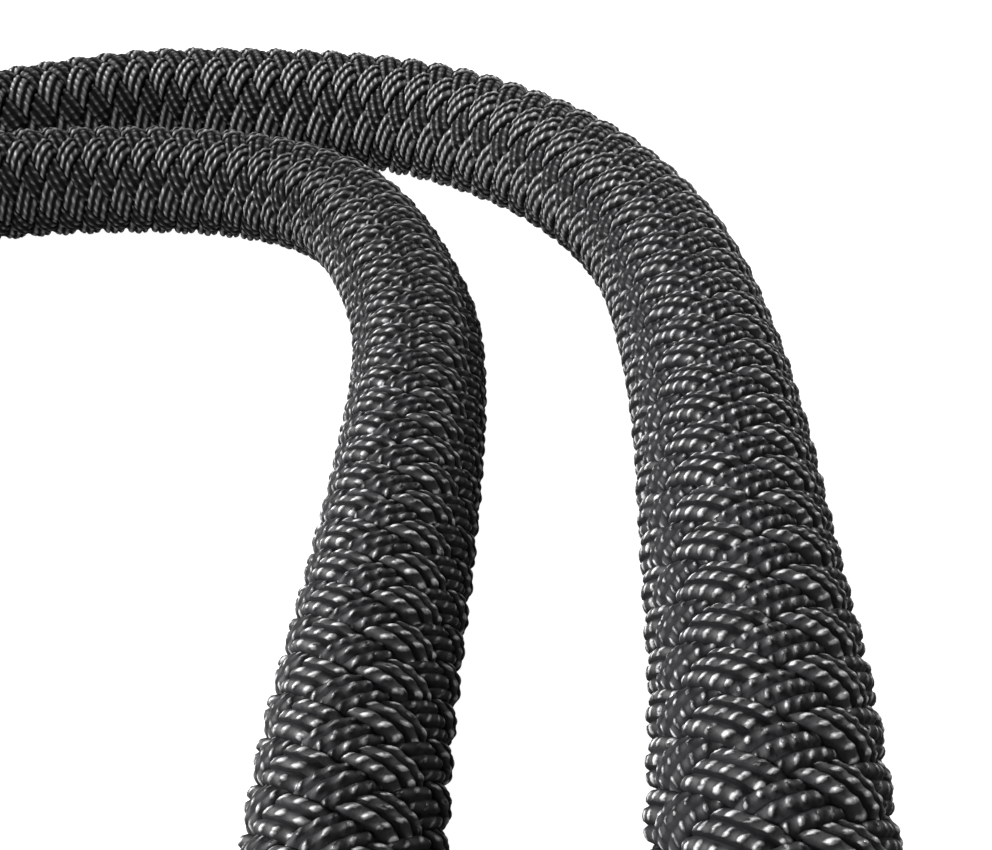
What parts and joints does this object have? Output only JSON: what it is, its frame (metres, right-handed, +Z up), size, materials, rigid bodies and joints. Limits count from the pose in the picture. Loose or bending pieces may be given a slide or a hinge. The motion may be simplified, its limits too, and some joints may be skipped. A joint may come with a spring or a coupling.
{
  "type": "dogbone power adapter",
  "caption": "Two-leg power adapter cord: one blade plug, two braided legs of unequal thickness and two round connectors, each head with a folding bail.",
  "frame": {"origin": "on the surface that the adapter rests on, under the middle of the box round its three heads, leaving out the two cords", "axes": "+Z up; +Y from the connectors towards the plug's end, along the adapter's longest extent; +X towards the connectors' side; the plug's blades point along -X and the connectors' faces along -Y"},
  "size_m": [0.3259, 0.3669, 0.0637],
  "materials": {
    "braid": "black braided polyester yarn with a slight satin gloss",
    "housing": "black moulded nylon with a fine spark texture",
    "insert": "pale grey moulded thermoset face",
    "brass": "brushed brass blades, lightly worn at the tips",
    "contact_brass": "formed brass strip",
    "steel": "zinc-plated steel screws",
    "pin_steel": "turned stainless steel",
    "clamp": "pressed zinc-plated steel",
    "line_wire": "black wire insulation",
    "neutral_wire": "white wire insulation",
    "ground_wire": "green wire insulation",
    "boot_rubber": "soft black rubber with a dull sheen",
    "lamp": "small lamp on its board",
    "lens": "clear amber lens",
    "bail": "black glass-filled nylon rod",
    "grip": "soft yellow sleeve"
  },
  "bodies": {
    "root": {"cord_thick": "braid", "cord_thin": "braid", "plug_lower_shell": "housing", "plug_upper_shell": "housing", "plug_insert": "insert", "plug_line_blades": "brass", "plug_neutral_blade": "brass", "plug_ground_pin": "brass", "plug_case_screws": "steel", "plug_terminal_screws": "steel", "plug_cord_clamp": "clamp", "plug_clamp_screws": "steel", "plug_line_wires": "line_wire", "plug_neutral_wires": "neutral_wire", "plug_ground_wires": "ground_wire", "plug_thick_boot": "boot_rubber", "plug_thin_boot": "boot_rubber", "plug_bail_pins": "pin_steel", "large_lower_shell": "housing", "large_upper_shell": "housing", "large_insert": "insert", "large_line_contact": "contact_brass", "large_neutral_contact": "contact_brass", "large_ground_contact": "contact_brass", "large_case_screws": "steel", "large_terminal_screws": "steel", "large_cord_clamp": "clamp", "large_clamp_screws": "steel", "large_line_wire": "line_wire", "large_neutral_wire": "neutral_wire", "large_ground_wire": "ground_wire", "large_boot": "boot_rubber", "large_lamp": "lamp", "large_lens": "lens", "large_bail_pins": "pin_steel", "small_lower_shell": "housing", "small_upper_shell": "housing", "small_insert": "insert", "small_line_contact": "contact_brass", "small_neutral_contact": "contact_brass", "small_ground_contact": "contact_brass", "small_case_screws": "steel", "small_terminal_screws": "steel", "small_cord_clamp": "clamp", "small_clamp_screws": "steel", "small_line_wire": "line_wire", "small_neutral_wire": "neutral_wire", "small_ground_wire": "ground_wire", "small_boot": "boot_rubber", "small_lamp": "lamp", "small_lens": "lens", "small_bail_pins": "pin_steel"},
    "plug_bail": {"plug_bail": "bail", "plug_bail_grip": "grip"},
    "large_bail": {"large_bail": "bail", "large_bail_grip": "grip"},
    "small_bail": {"small_bail": "bail", "small_bail_grip": "grip"}
  },
  "joints": [
    {"name": "plug_bail_swing", "type": "hinge", "parent": "root", "child": "plug_bail", "pos_m": [-0.083, 0.137, 0.02], "axis": [0, -1, 0], "range_deg": [0, 75]},
    {"name": "large_bail_swing", "type": "hinge", "parent": "root", "child": "large_bail", "pos_m": [0.129, -0.094, 0.028], "axis": [1, 0, 0], "range_deg": [0, 75]},
    {"name": "small_bail_swing", "type": "hinge", "parent": "root", "child": "small_bail", "pos_m": [0.066, -0.1395, 0.022], "axis": [1, 0, 0], "range_deg": [0, 75]}
  ]
}
